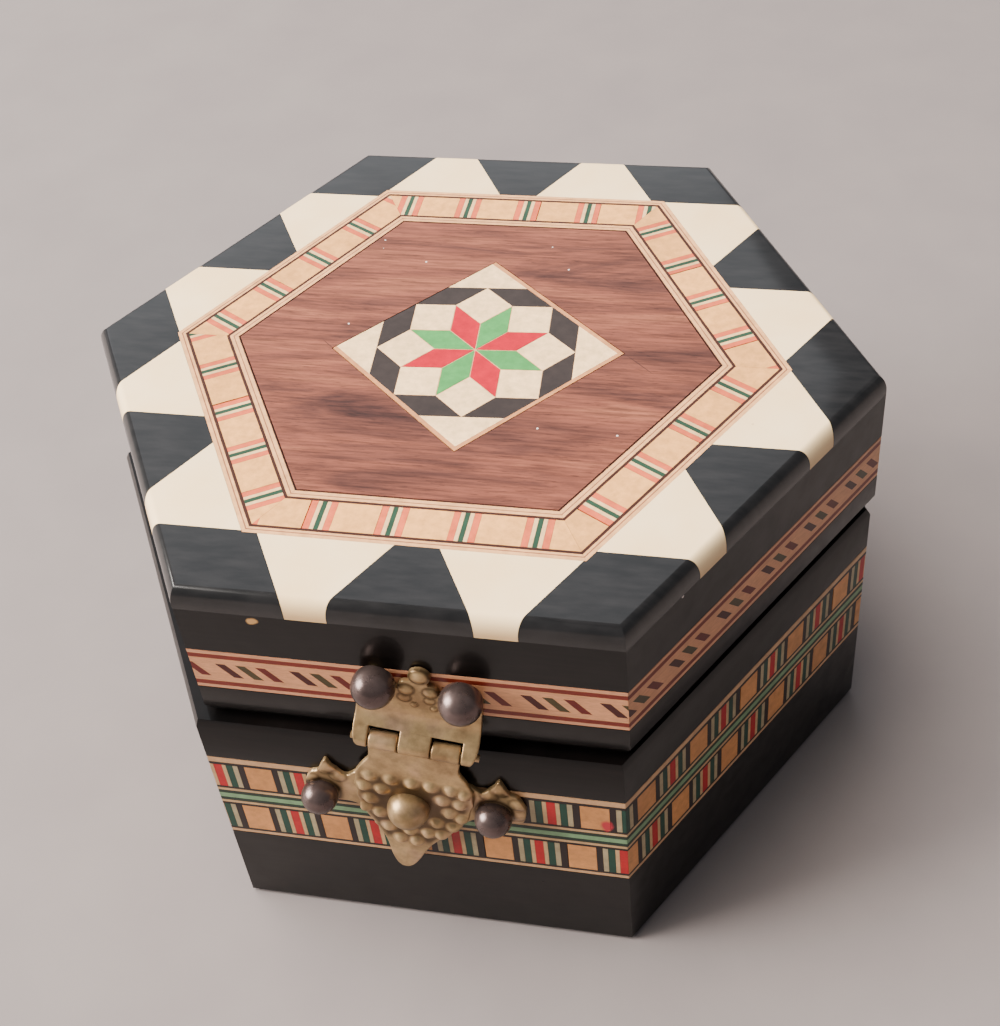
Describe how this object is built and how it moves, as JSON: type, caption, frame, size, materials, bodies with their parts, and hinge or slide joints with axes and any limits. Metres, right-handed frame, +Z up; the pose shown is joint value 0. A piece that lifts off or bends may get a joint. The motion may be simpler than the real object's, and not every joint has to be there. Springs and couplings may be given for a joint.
{
  "type": "marquetry box",
  "caption": "Small hexagonal marquetry box with a hinged lid, inlaid bands and a star, closed by a brass hasp",
  "frame": {"origin": "centre of the underside of the body, on the surface that the box stands on", "axes": "+Z up, the hasp side looks to -Y, the hinge is at +Y, +X is to the right of the hasp side"},
  "size_m": [0.0915, 0.0853, 0.0524],
  "materials": {
    "black_lacquer": "black-brown stained wood under gloss lacquer",
    "bare_wood": "dark stained bare wood",
    "ivory": "ivory coloured inlay under gloss lacquer",
    "ebony": "black dyed wood under gloss lacquer",
    "border_wood": "maple blocks with coloured cross lines, lacquered",
    "rosewood": "reddish brown figured wood, lacquered",
    "star_wood": "eight-pointed star of dyed woods, lacquered",
    "lid_strip_wood": "pale strip with slanted dark dashes, lacquered",
    "body_strip_wood": "two rows of coloured blocks with green lines, lacquered",
    "brass": "stamped sheet brass, dulled",
    "gunmetal": "round-headed nails, dark bronzed"
  },
  "bodies": {
    "box": {"bottom_board": "bare_wood", "body_wall_front": "black_lacquer", "body_wall_front_right": "black_lacquer", "body_wall_back_right": "black_lacquer", "body_wall_back": "black_lacquer", "body_wall_back_left": "black_lacquer", "body_wall_front_left": "black_lacquer", "body_band": "body_strip_wood", "catch_plate": "brass", "catch_nail_left": "gunmetal", "catch_nail_right": "gunmetal", "hinge_lower_leaf": "brass", "hinge_lower_nail_left": "gunmetal", "hinge_lower_nail_right": "gunmetal", "hinge_pin": "brass"},
    "lid": {"lid_board": "bare_wood", "lid_wall_front": "black_lacquer", "lid_wall_front_right": "black_lacquer", "lid_wall_back_right": "black_lacquer", "lid_wall_back": "black_lacquer", "lid_wall_back_left": "black_lacquer", "lid_wall_front_left": "black_lacquer", "lid_band": "lid_strip_wood", "ivory_wedge_1": "ivory", "ivory_wedge_2": "ivory", "ivory_wedge_3": "ivory", "ivory_wedge_4": "ivory", "ivory_wedge_5": "ivory", "ivory_wedge_6": "ivory", "ivory_wedge_7": "ivory", "ivory_wedge_8": "ivory", "ivory_wedge_9": "ivory", "ivory_wedge_10": "ivory", "ivory_wedge_11": "ivory", "ivory_wedge_12": "ivory", "ebony_wedge_1": "ebony", "ebony_wedge_2": "ebony", "ebony_wedge_3": "ebony", "ebony_wedge_4": "ebony", "ebony_wedge_5": "ebony", "ebony_wedge_6": "ebony", "ebony_wedge_7": "ebony", "ebony_wedge_8": "ebony", "ebony_wedge_9": "ebony", "ebony_wedge_10": "ebony", "ebony_wedge_11": "ebony", "ebony_wedge_12": "ebony", "top_band": "border_wood", "centre_field": "rosewood", "star_panel": "star_wood", "hasp_plate": "brass", "hasp_nail_left": "gunmetal", "hasp_nail_right": "gunmetal", "hasp_pin": "brass", "hinge_upper_leaf": "brass", "hinge_upper_nail_left": "gunmetal", "hinge_upper_nail_right": "gunmetal"},
    "flap": {"hasp_flap": "brass", "hasp_button": "brass"}
  },
  "joints": [
    {"name": "lid_hinge", "type": "hinge", "parent": "box", "child": "lid", "pos_m": [0, 0.04069, 0.03305], "axis": [-1, 0, 0], "range_deg": [0, 110]},
    {"name": "hasp_hinge", "type": "hinge", "parent": "lid", "child": "flap", "pos_m": [0.0016, -0.04039, 0.0341], "axis": [-0.9903, 0, 0.1392], "range_deg": [0, 130]}
  ]
}
